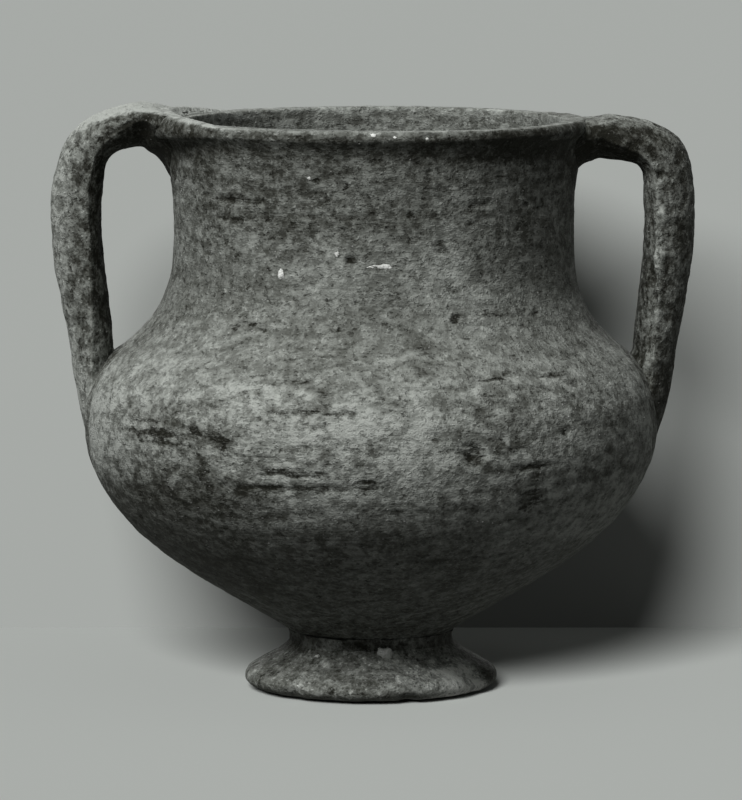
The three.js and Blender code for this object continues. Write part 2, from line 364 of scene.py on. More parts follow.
# Shades of the clay from the dark wash to bare clay
CLAY_SHADES = [(0.016, 0.016, 0.011), (0.065, 0.067, 0.057), (0.161, 0.169, 0.152),
               (0.291, 0.306, 0.281), (0.458, 0.48, 0.445)]
jar_clay = fired_clay("jar_clay", CLAY_SHADES)
outer_line = profile_line(OUTER_WALL)
jar_line = np.concatenate([outer_line[:-1], profile_line(INNER_WALL)])
outer_along = distance_along(outer_line)
lip_crest = outer_along[-1]
jar = throw("jar_wall", jar_line, JAR_SEGMENTS, **{
    "Ridge Depth": 0.45 * MM, "Ridge Pitch": 3.4 * MM, "Sag": 1.0 * MM, "Throw": 0.37, "Clay": jar_clay})

# Marks on the jar: degrees round from the front (right is +), height, half length round the wall and half
# height in mm, tilt in degrees, depth in mm, and the change of tone, which where a mark is sunk is partly
# painted shade in its hollow
JAR_MARKS = [
    (-44, 114.5, 8.6, 0.7, -2, 0.35, -0.16), (-47, 110.2, 6.2, 0.6, 0, 0.3, -0.14),
    (27.5, 113.5, 5.4, 0.6, 0, 0.3, -0.14), (36.3, 120.0, 2.9, 0.6, -14, 0.25, -0.14),
    (-44.4, 113.9, 1.0, 0.9, 0, 0.6, -0.25), (-46.5, 105.3, 0.9, 0.8, 0, 0.45, -0.22),
    (-57.7, 102.6, 0.9, 0.8, 0, 0.45, -0.22), (-7.7, 118.2, 0.8, 0.8, 0, 0.45, -0.22),
    (-16.1, 119.4, 0.8, 0.7, 0, 0.4, -0.2), (-6.6, 101.7, 1.5, 1.3, 0, 0.9, -0.35),
    (10.6, 111.7, 0.8, 0.8, 0, 0.45, -0.22), (19, 104.4, 1.6, 1.5, 0, 0.3, -0.22),
    (17, 102.5, 9.5, 6.5, 0, 0.0, 0.26),
    (-33.9, 87.7, 2.7, 0.5, -24, 0.35, -0.3), (-8.4, 86.9, 1.1, 0.5, -35, 0.3, -0.3),
    (-8.5, 81.6, 3.8, 0.6, 0, 0.15, -0.2), (-16, 76.4, 3.4, 0.6, 2, 0.15, -0.2),
    (-26, 74.0, 2.4, 0.6, 4, 0.15, -0.2), (-11.5, 70.2, 9.6, 0.6, 0, 0.12, -0.18),
    (-4, 69.9, 1.0, 0.9, 0, 0.55, -0.3), (34.5, 89.5, 9.6, 0.7, -3, 0.15, -0.15),
    (49, 89.5, 1.8, 1.0, 0, 0.15, -0.22), (43.5, 76.6, 9.0, 0.6, 2, 0.15, -0.18),
    (27, 76.7, 3.3, 0.6, 6, 0.15, -0.22), (30.5, 77.4, 0.8, 0.8, 0, 0.45, -0.25),
    (24.3, 73.2, 0.9, 0.8, 0, 0.45, -0.25), (21, 75.6, 0.8, 0.7, 0, 0.4, -0.22),
    (-52, 66.0, 8.0, 0.7, 1, 0.1, -0.24), (-48, 63.6, 12.0, 0.9, 1, 0.1, -0.3),
    (-45, 61.6, 7.5, 0.7, 0, 0.1, -0.26), (-36.5, 64.9, 2.2, 1.2, 0, 0.2, -0.25),
    (-30, 63.4, 4.6, 0.9, -4, 0.15, -0.28), (-30.1, 61.3, 1.1, 0.9, 0, 0.45, -0.32),
    (-0.5, 70.4, 3.2, 1.6, 0, 0.0, 0.2), (-2.5, 66.6, 8.8, 3.0, 0, 0.0, 0.18),
    (9.5, 66.0, 3.2, 2.1, 0, 0.0, 0.18), (12.5, 64.9, 1.2, 1.1, 0, 0.75, -0.35),
    (20.0, 60.8, 2.9, 2.3, 20, 0.9, -0.34), (33, 57.2, 5.8, 0.7, 3, 0.3, -0.32),
    (33.7, 49.7, 3.2, 3.0, 0, 0.25, -0.32), (-19.2, 57.0, 3.3, 1.0, 0, 0.15, -0.36),
    (-14, 56.6, 5.8, 0.6, 0, 0.15, -0.3), (-4.3, 61.9, 1.1, 0.9, 0, 0.4, -0.3),
    (-0.6, 55.0, 2.5, 0.8, 0, 0.15, -0.28), (-0.8, 53.0, 0.9, 0.8, 0, 0.45, -0.28),
    (-12, 53.4, 20.0, 0.9, 1, 0.2, -0.22), (-10.8, 46.3, 3.8, 1.9, 0, 0.0, 0.16),
    (0.4, 130.0, 1.3, 0.8, 0, 0.55, 0.4), (5.9, 129.7, 1.0, 0.6, 0, 0.4, 0.35),
    (14.6, 129.2, 1.3, 0.7, 0, 0.45, 0.3), (-26.5, 129.8, 0.9, 0.7, 0, 0.35, 0.3),
    (-22.6, 129.9, 0.8, 0.7, 0, 0.35, 0.3),
]
# Height on the outer wall in mm and its tone there: dark below, pale on the belly and shoulder, darker on
# the neck and darkest under the lip, where the lip's shadow is painted
TONE_BY_HEIGHT = [
    (12, 0.37), (30, 0.42), (42, 0.45), (48, 0.5), (53, 0.65), (57, 0.76), (66, 0.78), (72, 0.73),
    # The low tones from 124.5 to 128.5 mm are the painted shadow under the lip
    (78, 0.63), (86, 0.58), (92, 0.61), (98, 0.56), (104, 0.49), (118, 0.48), (122, 0.46), (124.5, 0.31),
    (127.8, 0.24), (128.5, 0.28), (129.6, 0.34), (130.3, 0.66),
]
BELLY = (44, 52, 66, 76)
SHOULDER = (68, 80, 98, 106)
LEFT_SIDE = (-91, -90)
RIGHT_SIDE = (90, 91)
# Wear and wash on the outer wall, with painted light on the left and painted shade on the right: the
# change of tone, then where it starts, is full, fades and ends, by height in mm and in degrees to the right
# (+) of the front or the back
JAR_WEAR_AND_LIGHT = [
    (-0.28, BELLY, (-70, -52, -40, -16)),
    # Painted shade on the right of the belly
    (-0.13, BELLY, (8, 24, *RIGHT_SIDE)),
    (-0.18, (18, 30, 48, 56), (*LEFT_SIDE, -36, -16)),
    (0.06, (40, 46, 52, 58), (-26, -14, 14, 26)),
    # Painted light on the far left of the belly and the left of the neck
    (0.14, BELLY, (*LEFT_SIDE, -72, -55)),
    (0.09, (92, 104, 121, 124), (*LEFT_SIDE, -60, -15)),
    (0.12, (90, 97, 102, 110), (-30, -10, 18, 38)),
    (0.24, (34, 42, 50, 56), (12, 32, *RIGHT_SIDE)),
    # Painted shade on the right of the neck
    (-0.09, (88, 98, 131, 132), (22, 40, *RIGHT_SIDE)),
    (-0.08, (86, 92, 98, 104), (*LEFT_SIDE, -36, -20)),
    # Painted shade on the right of the lip
    (-0.16, (120, 126, 129.6, 130.3), (20, 50, *RIGHT_SIDE)),
]
MARK_STRENGTH = 0.75
PIT_COUNT = 150
PIT_HEIGHTS = (24, 127)
PIT_SIZES = (0.5, 1.1)
PIT_DEPTH = 0.45
# The pits are darkened in tone: painted shade in their hollows
PIT_SHADE = 0.12
LUMP_DEPTH = 0.10
WALL_FULLNESS = 0.40
NECK_FULLNESS = 0.22
NECK_LEAN = 0.7

jar_points = vertex_array(jar.data, "co")
jar_normals = vertex_array(jar.data, "normal")
jar_heights = jar_points[:, 2] / MM
jar_along = stored_values(jar.data, "along")
jar_round = np.degrees(np.arctan2(jar_points[:, 0], -jar_points[:, 1]))
jar_radius = np.hypot(jar_points[:, 0], jar_points[:, 1])
jar_aside = np.degrees(np.arcsin(np.clip(jar_points[:, 0] / np.maximum(jar_radius, 1e-9), -1, 1)))
is_outside = jar_along <= lip_crest


def along_at(height):
    """How far along the wall from its base a height in mm lies outside."""
    return np.interp(height * MM, outer_line[:, 1], outer_along)


def turned_from(places, place):
    """Degrees round from a place, from -180 to 180."""
    return (places - place + 180) % 360 - 180


def under_mark(place, height, half_length, half_height, tilt, ragged):
    """How strongly each point of the jar's outside lies under a mark, from 0 to 1."""
    across = np.radians(turned_from(jar_round, place)) * jar_radius
    upward = jar_along - along_at(height)
    lean = math.radians(tilt)
    long = (across * math.cos(lean) + upward * math.sin(lean)) / (half_length * MM)
    short = (upward * math.cos(lean) - across * math.sin(lean)) / (half_height * MM)
    return np.where(is_outside, np.exp(-((long ** 2 + short ** 2) * ragged) ** 2), 0)


outer_tone = np.interp(jar_heights, *zip(*TONE_BY_HEIGHT))
patches = clay_noise(jar_points, 26 * MM)
outer_tone += 0.16 * patches * ease(jar_heights, 36, 56)
worn = clay_noise(jar_points, np.array([5.5, 5.5, 3.4]) * MM, 6.4)
outer_tone += 0.30 * worn * ease(jar_heights, 40, 52) * (1 - 0.7 * ease(jar_heights, 70, 82))
for change, heights, sides in JAR_WEAR_AND_LIGHT:
    outer_tone += change * within(jar_heights, *heights) * within(jar_aside, *sides)
inner_tone = 0.50 + 0.14 * patches - 0.16 * (1 - ease(jar_heights, 60, 118))
crest_tone = 0.67 + 0.12 * patches
on_crest = (jar_along > lip_crest) & (jar_heights > 129.6)
jar_tone = np.where(is_outside, outer_tone, np.where(on_crest, crest_tone, inner_tone))

ragged_edge = np.exp(1.1 * clay_noise(jar_points, np.array([3.2, 3.2, 1.8]) * MM))
sunk = np.zeros(len(jar_points))
jar_mark = np.zeros(len(jar_points))
for place, height, half_length, half_height, tilt, depth, change in JAR_MARKS:
    strength = under_mark(place, height, half_length, half_height, tilt, ragged_edge)
    sunk += depth * MM * strength
    jar_tone += MARK_STRENGTH * change * strength
    if change < 0:
        jar_mark = np.maximum(jar_mark, strength * min(1, -3 * change))
chance = np.random.default_rng(23)
for _ in range(PIT_COUNT):
    place = chance.uniform(-180, 180)
    height = chance.uniform(*PIT_HEIGHTS)
    size = chance.uniform(*PIT_SIZES)
    strength = under_mark(place, height, size, size * 0.8, 0, ragged_edge)
    sunk += PIT_DEPTH * size * MM * strength
    jar_tone -= PIT_SHADE * strength
    jar_mark = np.maximum(jar_mark, 0.6 * strength)
lumps = clay_noise(jar_points, 5 * MM, 3.1)
sunk += LUMP_DEPTH * MM * (1 - lumps)
fullness = np.where(is_outside, (WALL_FULLNESS + NECK_FULLNESS * ease(jar_heights, 78, 100)) * MM, 0)
fullness *= 1 - ease(jar_along, lip_crest - 3 * MM, lip_crest)
jar_points = jar_points + jar_normals * (fullness - sunk)[:, None]
jar_points[:, 0] += NECK_LEAN * MM * ease(jar_heights, 66, 102)
jar_calm = 0.10 + 0.22 * within(jar_heights, *SHOULDER) - 0.10 * within(jar_heights, *BELLY)
reshape(jar, jar_points, jar_tone, jar_mark, jar_calm)
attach(jar, "root")
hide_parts("body")

# The foot is a thrown ring of the same clay, a low flaring wall with a rounded edge, hollow below and open
# under the jar. It was turned by itself and luted under the jar's rounded base.

FOOT_SEGMENTS = 260
FOOT_WALL = [
    ((21.8, 0), (22.9, 0), (24.0, 0), (25.2, 0), 0.6),
    ((25.2, 0), (27, 0), (29.4, 0.8), (29.4, 3.0), 0.45),
    ((29.4, 3.0), (29.4, 6.2), (21.4, 7.4), (18.7, 11.7), 0.45),
    ((18.7, 11.7), (16.4, 10.7), (13.5, 9.9), (10.5, 9.1), 0.8),
    ((10.5, 9.1), (13.5, 6.5), (19.5, 5), (21.8, 0), 0.8),
]
# Shades of the foot, which has less of the dark wash; its palest shades carry the painted light on its
# right
FOOT_SHADES = [(0.018, 0.018, 0.012), (0.082, 0.085, 0.072), (0.215, 0.225, 0.203),
               (0.45, 0.47, 0.434), (0.93, 0.96, 0.9)]
FOOT_WEIGHTS = (0.16, 0.12, 0.06, 0.26, 0.34)
foot_clay = fired_clay("foot_clay", FOOT_SHADES, streak_stretch=2.0, weights=FOOT_WEIGHTS)
foot_line = profile_line(FOOT_WALL)
foot = throw("foot_wall", foot_line, FOOT_SEGMENTS, **{
    "Ridge Depth": 0.35 * MM, "Ridge Pitch": 3.0 * MM, "Sag": 0.9 * MM, "Throw": 2.9, "Clay": foot_clay})
foot_points = vertex_array(foot.data, "co")
foot_normals = vertex_array(foot.data, "normal")
foot_round = np.degrees(np.arctan2(foot_points[:, 0], -foot_points[:, 1]))
foot_heights = foot_points[:, 2] / MM
stands = foot_heights < 0.3
foot_radius = np.hypot(foot_points[:, 0], foot_points[:, 1]) / MM

# A chip off the right of the edge, and smaller ones round it: degrees from the front, height, half width,
# half height and depth in mm
FOOT_CHIPS = [(61, 4.2, 5.5, 2.6, 1.7), (-38, 2.2, 3.0, 1.4, 0.6), (18, 1.4, 2.4, 1.2, 0.5),
              (150, 3.5, 4.0, 2.0, 1.0), (-120, 2.0, 3.4, 1.6, 0.7)]
FOOT_LUMP_DEPTH = 0.16
foot_sunk = FOOT_LUMP_DEPTH * (1 - clay_noise(foot_points, 4.5 * MM, 5.2))
# Its tone: painted shade along the ground and at the stem under the jar, a little darker on the left,
# painted light at the right of the front as far as the chip, and painted shade beyond it and in the chips
foot_tone = 0.52 + 0.13 * clay_noise(foot_points, 14 * MM, 1.7)
foot_tone += 0.14 * clay_noise(foot_points, 3.2 * MM, 2.6)
# Painted shade along the ground and at the stem under the jar
foot_tone -= 0.16 * (1 - ease(foot_heights, 0, 2.5))
foot_tone -= 0.14 * (1 - ease(foot_radius, 18, 22))
foot_tone -= 0.08 * within(foot_round, -150, -100, -60, -30)
# Painted light at the right of the front, where the belly's shadow falls, and painted shade beyond it
foot_tone += 0.47 * within(foot_round, 8, 40, 64, 76) * ease(foot_radius, 21, 26)
foot_tone -= 0.10 * within(foot_round, 64, 76, 100, 130)
for place, height, half_width, half_height, depth in FOOT_CHIPS:
    across = np.radians(turned_from(foot_round, place)) * foot_radius / half_width
    upward = (foot_heights - height) / half_height
    strength = np.exp(-(across ** 2 + upward ** 2) ** 2) * ease(foot_radius, 22, 27)
    foot_sunk += depth * strength
    # Painted shade in the chip
    foot_tone -= 0.08 * strength
foot_points -= foot_normals * (foot_sunk * MM)[:, None]
foot_points[:, 2] = np.where(stands, 0, np.maximum(foot_points[:, 2], 0))
reshape(foot, foot_points, foot_tone)
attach(foot, "root")
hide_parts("foot")

# The slip under the jar is wet clay that held the foot while it dried. It fills the seat and was squeezed
# out round the stem as an uneven bead, smeared wider on its left.

SLIP_SHADES = [(0.018, 0.018, 0.012), (0.07, 0.072, 0.062), (0.17, 0.178, 0.16),
               (0.305, 0.32, 0.295), (0.49, 0.512, 0.476)]
slip_clay = fired_clay("luting_clay", SLIP_SHADES, streak_stretch=1.5, line_shade=0.15)
BEAD_STEPS = 260
BEAD_SIDES = 20
BEAD_RADIUS = 18.0
BEAD_HEIGHT = 12.1
SMEAR_PLACE = -33.0
SMEAR_WIDTH = 15.0
bead_turn = np.linspace(0, 2 * np.pi, BEAD_STEPS, endpoint=False)
bead_side = np.linspace(0, 2 * np.pi, BEAD_SIDES, endpoint=False)
turn_grid, side_grid = np.meshgrid(bead_turn, bead_side, indexing="ij")
ring = np.column_stack([np.sin(bead_turn), -np.cos(bead_turn), np.zeros(BEAD_STEPS)]) * BEAD_RADIUS * MM
swell = clay_noise(ring, 5 * MM, 8.0)
smear = np.exp(-(turned_from(np.degrees(bead_turn), SMEAR_PLACE) / SMEAR_WIDTH) ** 2)
bead_out = 0.55 + 0.15 * swell + 0.3 * smear
bead_down = 1.55 + 0.35 * swell + 0.3 * smear
radial = BEAD_RADIUS + 0.2 * smear[:, None] + np.cos(side_grid) * bead_out[:, None]
radial += 0.9 * np.clip(np.sin(side_grid), 0, None) ** 2 + 0.6 * np.clip(-np.sin(side_grid), 0, None) ** 2
upright = BEAD_HEIGHT - 0.4 * smear[:, None] + np.sin(side_grid) * bead_down[:, None]


def point_list(across, forward, upward):
    """Points in metres from grids of their three places in mm."""
    return np.stack([across, forward, upward], -1).reshape(-1, 3) * MM


def tube_faces(steps, sides, closed):
    """Faces of a tube from rings of points, joined end to end or open at both ends."""
    faces = []
    for step in range(steps if closed else steps - 1):
        for side in range(sides):
            here, there = step * sides, (step + 1) % steps * sides
            across = (side + 1) % sides
            faces.append((here + side, here + across, there + across, there + side))
    return faces


bead_points = point_list(np.sin(turn_grid) * radial, -np.cos(turn_grid) * radial, upright)
bead = new_piece("foot_joint_slip", bead_points, faces=tube_faces(BEAD_STEPS, BEAD_SIDES, True))
bead.data.materials.append(slip_clay)
bead_tone = np.repeat(0.30 + 0.12 * swell + 0.32 * smear, BEAD_SIDES)
bead_crumbs = clay_noise(bead_points, 1.6 * MM, octaves=2)[:, None]
reshape(bead, bead_points + 0.12 * MM * bead_crumbs, bead_tone)
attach(bead, "root")
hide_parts("foot_slip")

# The handles are straps pulled from a lump of clay, domed outside, flatter inside and with a rough edge
# along each side. Each is pressed over the lip, bends down past the neck and is thumbed out on the belly.

HANDLE_ROWS = 200
HANDLE_SIDES = 96
SLOW_TURN = 22
STATION_STEPS = 60
SPINE_INSET = 8.6
# Four sections of a strap's root from the lip outwards: radius, share of the drop from the lip to the edge,
# depth of the web under it, share of the fan along the lip, and squareness
STRAP_ROOTS = [(44.5, 0.40, 8.7, 1.0, 0.45), (47.5, 0.75, 3.2, 0.73, 0.5),
               (50.5, 0.92, 1.0, 0.37, 0.62), (54.5, 1.0, 0.0, 0.07, 0.8)]
LEFT_HANDLE = {"reach": 73.2, "tops": (131.4, 133.2, 134.3, 134.5), "edge": 130.4, "under": 123.9,
               "corner": 6.9, "crook": 3.9, "web": 1.0, "outward": 0.3, "hollow": 0.3, "keel": 4.0,
               "fan": 13.0, "tongue": 3.5}
RIGHT_HANDLE = {"reach": 74.1, "tops": (130.6, 131.0, 131.4, 132.0), "edge": 126.5, "under": 121.3,
                "corner": 8.3, "crook": 3.1, "web": 0.5, "outward": 0.0, "hollow": 1.0, "keel": 0.0,
                "fan": 6.5, "tongue": 4.8}
# The finishes pale the faces that look up, as painted light from above and wear, and darken the strap's
# sides and inner face and the faces under its root, as painted shade
LEFT_FINISH = {"flare": 1.5, "crumble": 0.4, "base_tone": 0.75, "top_light_and_wear": 0.66, "low_wear": 0.44,
               "edge_shade": 0.44, "arch_shade": 0.05, "shift": 4.4}
RIGHT_FINISH = {"flare": 2.5, "crumble": 0.85, "base_tone": 0.395, "top_light_and_wear": 0.12, "low_wear": -0.20,
                "edge_shade": 0.0, "arch_shade": 0.46, "shift": 9.7}
# Pits, crumbs and creases on each strap: where, how wide and how far out, in mm, and the change of tone,
# which in the sunk pits and creases is painted shade
LEFT_DABS = [(-56.5, -6.5, 132.4, 1.4, -0.9, -0.45), (-59.0, -5.5, 132.2, 1.0, -0.7, -0.4),
             (-53.0, -8.5, 130.6, 1.8, -0.5, -0.35), (-51.5, -10.5, 128.4, 2.4, -0.7, -0.3),
             (-69.0, -5.0, 104.0, 1.3, -0.6, -0.35), (-66.0, -7.5, 84.0, 1.5, -0.6, -0.35)]
RIGHT_DABS = [(62.8, -8.3, 75.6, 2.2, 0.8, 0.45), (64.4, -8.0, 95.0, 1.6, -0.7, -0.35),
              (64.0, -8.0, 90.5, 1.2, -0.6, -0.3), (65.2, -8.0, 118.0, 1.0, -0.6, -0.3),
              (66.0, -8.0, 108.5, 1.6, 0.4, 0.14), (65.0, -8.0, 99.5, 1.5, 0.4, 0.14)]


def surface_tree(*pieces):
    """The faces of one or more pieces, to find spots on them."""
    points, faces = [], []
    for piece in pieces:
        first = len(points)
        points += vertex_array(piece.data, "co").tolist()
        faces += [tuple(first + corner for corner in face.vertices) for face in piece.data.polygons]
    return BVHTree.FromPolygons(points, faces)


jar_tree = surface_tree(jar)


def strap_stations(reach, tops, edge, under, corner, crook, web, outward, hollow, keel, fan, tongue):
    """Down the strap: radius and height of its side edges, rise of its outer and its inner face, half
    width, squareness, how narrow the keel under it is, and how flat its inner face is."""
    spine = reach - SPINE_INSET
    drop = LIP_HEIGHT - edge
    roots = []
    for top, (radius, share, depth, spread, squareness) in zip(tops, STRAP_ROOTS):
        height = LIP_HEIGHT - 0.1 - share * drop
        roots.append((radius, height, top - height, height - under + web * depth, 10 + spread * fan,
                      squareness, spread * keel, 1.2))
    return np.array(roots + [
        (spine - 2.3, under + 0.4, corner, crook, 8.5, 1.0, 0, 1 + 0.3 * hollow),
        (spine + outward, 114.0, 8.5 - outward, 3.4 + outward, 8.2, 0.9, 0, 1 + 0.5 * hollow),
        (spine - 0.1 + outward, 101.0, 8.4 - outward, 3.3 + outward, 8.2, 0.9, 0, 1 + 0.8 * hollow),
        (spine - 0.3, 88.5, 6.8, 4.5, 8.3, 1.0, 0, 1 + 1.4 * hollow),
        (spine - 0.5, 78.5, 5.2, 5.2, 8.6, 1.0, 0, 1 + 1.6 * hollow),
        (64.1, 68.5, tongue, 4.2, 8.6, 1.0, 0, 1 + 1.4 * hollow),
        (64.4, 60.0, 0.4 * tongue, 2.0, 7.0, 1.0, 0, 1 + hollow),
        (63.0, 54.0, 0.2 * tongue, 1.0, 4.0, 1.0, 0, 1 + hollow),
    ])


def smooth_through(stations, count):
    """A smooth run through stations, evenly spaced along the strap."""
    padded = np.vstack([2 * stations[0] - stations[1], stations, 2 * stations[-1] - stations[-2]])
    t = np.linspace(0, 1, STATION_STEPS, endpoint=False)[:, None]
    run = []
    for before, start, end, after in zip(padded, padded[1:], padded[2:], padded[3:]):
        run.append(0.5 * (2 * start + (end - before) * t
                          + (2 * before - 5 * start + 4 * end - after) * t ** 2
                          + (3 * start - before - 3 * end + after) * t ** 3))
    run = np.vstack([*run, stations[-1]])
    walked = distance_along(run[:, :2])
    stops = np.linspace(0, walked[-1], count)
    return np.column_stack([np.interp(stops, walked, column) for column in run.T])


def nearest_wall(points):
    """Distance of each point from the jar's wall, less than 0 inside it, and the wall's normal there."""
    distances, normals = np.empty(len(points)), np.empty((len(points), 3))
    for i, point in enumerate(points.tolist()):
        spot, normal, _, distance = jar_tree.find_nearest(point)
        distances[i] = math.copysign(distance, (Vector(point) - spot).dot(normal))
        normals[i] = normal
    return distances, normals


def ladder_cap(first, sides):
    """Faces over the end of a strap, in rungs from its upper to its lower side that follow the lip."""
    half = sides // 2
    rungs = [(i, i + 1, sides - i - 1, sides - i) for i in range(1, half - 1)]
    tips = [(0, 1, sides - 1), (half - 1, half, half + 1)]
    return [tuple(first + corner for corner in face) for face in rungs + tips]


def pull_strap(name, side, size, dabs, flare, crumble, base_tone, top_light_and_wear, low_wear, edge_shade,
               arch_shade, shift):
    """A strap handle on the right, side 1, or on the left, side -1."""
    run = smooth_through(strap_stations(**size), HANDLE_ROWS)
    edge_radius, edge_height, outer, inner, half_width, squareness, keel, flatness = (
        run[:, i:i + 1] for i in range(run.shape[1]))
    heading = np.gradient(run[:, :2], axis=0)
    turn = np.pad(np.unwrap(np.arctan2(heading[:, 1], heading[:, 0])), SLOW_TURN, mode="edge")
    turn = np.convolve(turn, np.hanning(2 * SLOW_TURN + 1) / SLOW_TURN, mode="valid")
    turn = turn[:, None] * ease(edge_radius, 46, 55)
    angle = np.linspace(0, 2 * np.pi, HANDLE_SIDES, endpoint=False)
    high = np.abs(np.sin(angle))
    flange = 1.8 * ease(keel, 0.3, 2.0)
    under = flange * high ** 0.5 + (inner - flange) * high ** (keel + flatness)
    rise = np.where(angle < np.pi, outer * high ** squareness, -under)
    radius = edge_radius - np.sin(turn) * rise
    bend = half_width * np.cos(angle) / radius
    points = point_list(side * radius * np.cos(bend), side * radius * np.sin(bend),
                        edge_height + np.cos(turn) * rise)
    faces = tube_faces(HANDLE_ROWS, HANDLE_SIDES, False)
    for first in (0, (HANDLE_ROWS - 1) * HANDLE_SIDES):
        faces += ladder_cap(first, HANDLE_SIDES)
    strap = new_piece(name, points, faces=faces)
    strap.data.materials.append(handle_clay)
    face_outwards(strap.data)
    normals = vertex_array(strap.data, "normal")

    away, wall = nearest_wall(points)
    spread = np.clip(flare * MM - np.maximum(away, 0), 0, None) ** 2 / (2 * flare * MM)
    spread *= 1 - ease(points[:, 2], 100 * MM, 112 * MM)
    sideways = normals - np.sum(normals * wall, axis=1, keepdims=True) * wall
    points = points + sideways * spread[:, None]

    heights = points[:, 2] / MM
    upturned = normals[:, 2]
    rise = rise.ravel()
    out = np.repeat(edge_radius, HANDLE_SIDES)
    down = np.repeat(np.linspace(0, 1, HANDLE_ROWS), HANDLE_SIDES)
    beside = np.tile(np.cos(angle), HANDLE_ROWS)
    face = np.tile(np.sin(angle), HANDLE_ROWS)
    edge = np.exp(-((rise - 0.3) / 0.8) ** 2) * (np.abs(beside) > 0.5)
    drawn = clay_noise(np.column_stack([beside * 2.2, face * 2.2, down * 7]), 1, shift)
    dragged = clay_noise(np.column_stack([beside * 5.5, face * 5.5, down * 5]), 1, shift + 3)
    lumps = clay_noise(points, 6 * MM, shift)
    rough = clay_noise(points, 2.2 * MM, shift, octaves=2)
    crumbs = clay_noise(points, 2.1 * MM, shift + 5)
    held_in = 0.8 * ease(face, -0.1, 0.6)
    sunk = -crumble * edge * (0.15 + 0.55 * crumbs)
    tone = base_tone + crumble * edge * (0.34 + 0.60 * crumbs) * ease(heights, 60, 105) * ease(out, 58, 63)
    for layer, depth, change in ((drawn, 0.16, 0.05), (dragged, 0.16, 0.07), (lumps, 0.15, 0.06),
                                 (rough, 0.14, 0.10)):
        sunk += depth * (held_in - layer)
        tone += change * layer
    # Faces that look up are paled: painted light from above, and wear
    tone += top_light_and_wear * ease(upturned, 0.5, 0.9) + low_wear * (1 - ease(heights, 66, 92))
    # Painted shade under the root of the arch
    tone -= arch_shade * (1 - ease(out, 57, 67)) * (1 - ease(upturned, 0.55, 0.95))
    # Painted shade along the sides of the strap and on its inner face
    tone -= edge_shade * (1 - ease(rise, 0.5, 7.5) + 0.36 * ease(-face, 0.1, 0.8))
    # Painted shade on the underside of the strap near its root
    tone -= 0.12 * (rise < 0) * (1 - ease(out, 52, 60))
    for *middle, width, raised, change in dabs:
        strength = np.exp(-(np.linalg.norm(points / MM - middle, axis=1) / width) ** 3)
        sunk -= raised * strength
        tone += change * strength
    reshape(strap, points - normals * (sunk * MM)[:, None], tone)
    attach(strap, "root")
    return strap


HANDLE_WEIGHTS = (0.14, 0.14, 0.08, 0.42, 0.40)
handle_clay = fired_clay("handle_clay", CLAY_SHADES, streak_stretch=0.6, line_shade=0.15,
                         weights=HANDLE_WEIGHTS)
left_strap = pull_strap("left_strap", -1, LEFT_HANDLE, LEFT_DABS, **LEFT_FINISH)
right_strap = pull_strap("right_strap", 1, RIGHT_HANDLE, RIGHT_DABS, **RIGHT_FINISH)
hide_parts("handle_left")
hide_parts("handle_right")

# The slip behind the handles is wet clay brushed on before each end was pressed home. Above, it was thumbed
# along the lip into a wide thin root, and below it was smeared over the wall, ragged at its edge.

SMEAR_THICKNESS = 0.45
SMEAR_RAGGED = 0.16
SMEAR_REACH = 3.5
SMEAR_SUNK = 0.9
SMEAR_EDGE = -0.12
jar_along_line = distance_along(jar_line)
lip_end = lip_crest + 4.0 * MM


def slip_smear(joint, strap, side, start, end, half_turn, columns, thumbed, base_tone, top_light_and_wear, shift):
    """A skin of slip over the jar round one end of a strap, thumbed to a thickness in mm along the lip."""
    strap_tree = surface_tree(strap)
    rows = np.flatnonzero((jar_along_line >= start) & (jar_along_line <= end))
    lean = np.gradient(jar_line, axis=0)
    lean /= np.linalg.norm(lean, axis=1, keepdims=True)
    turns = np.linspace(-half_turn, half_turn, columns)
    points, backs, layer, tone = [], [], [], []
    for row in rows:
        (radius, height), (lean_out, lean_up) = jar_line[row], lean[row]
        on_lip = float(ease(height, 125.5 * MM, 128.2 * MM) * ease(radius, 43.9 * MM, 45.6 * MM))
        for turn in turns:
            bend = math.radians(turn)
            outward = Vector((side * math.cos(bend), side * math.sin(bend), 0))
            spot = jar_tree.find_nearest(outward * radius + Vector((0, 0, height)))[0]
            gap = strap_tree.find_nearest(spot)[3] / MM
            ragged = noise.fractal(spot / (4 * MM) + Vector((shift, 0, 0)), 1.0, 2.0, 3)
            root = thumbed * on_lip * (1 - (turn / half_turn) ** 2) - 0.6 * (1 - on_lip)
            film = SMEAR_THICKNESS * (1 - gap / SMEAR_REACH)
            layer.append(max(root, film) + SMEAR_RAGGED * ragged - 0.06)
            # Faces that look up are paled: painted light from above, and wear
            tone.append(base_tone + 0.16 * ragged + top_light_and_wear * max(0.0, -lean_out) ** 3)
            away = outward * lean_up + Vector((0, 0, -lean_out))
            points.append(spot + away * layer[-1] * MM)
            backs.append(spot - away * SMEAR_SUNK * MM)
    faces, rim = [], {}
    for row in range(len(rows) - 1):
        for column in range(columns - 1):
            corner = row * columns + column
            corners = (corner, corner + 1, corner + 1 + columns, corner + columns)
            if max(layer[i] for i in corners) > SMEAR_EDGE:
                faces.append(corners)
                for start_corner, end_corner in zip(corners, corners[1:] + corners[:1]):
                    if rim.pop((end_corner, start_corner), None) is None:
                        rim[start_corner, end_corner] = True
    count = len(points)
    inner_faces = [tuple(corner + count for corner in reversed(corners)) for corners in faces]
    faces += inner_faces + [(last, first, first + count, last + count) for first, last in rim]
    used = sorted({corner for corners in faces for corner in corners})
    order = {corner: i for i, corner in enumerate(used)}
    skin = np.array(points + backs)[used]
    faces = [tuple(order[corner] for corner in corners) for corners in faces]
    smear = new_piece(f"{joint}_smear", skin, faces=faces)
    smear.data.materials.append(slip_clay)
    reshape(smear, skin, np.array(tone + tone)[used])
    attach(smear, "root")
    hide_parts(f"{joint}_slip")


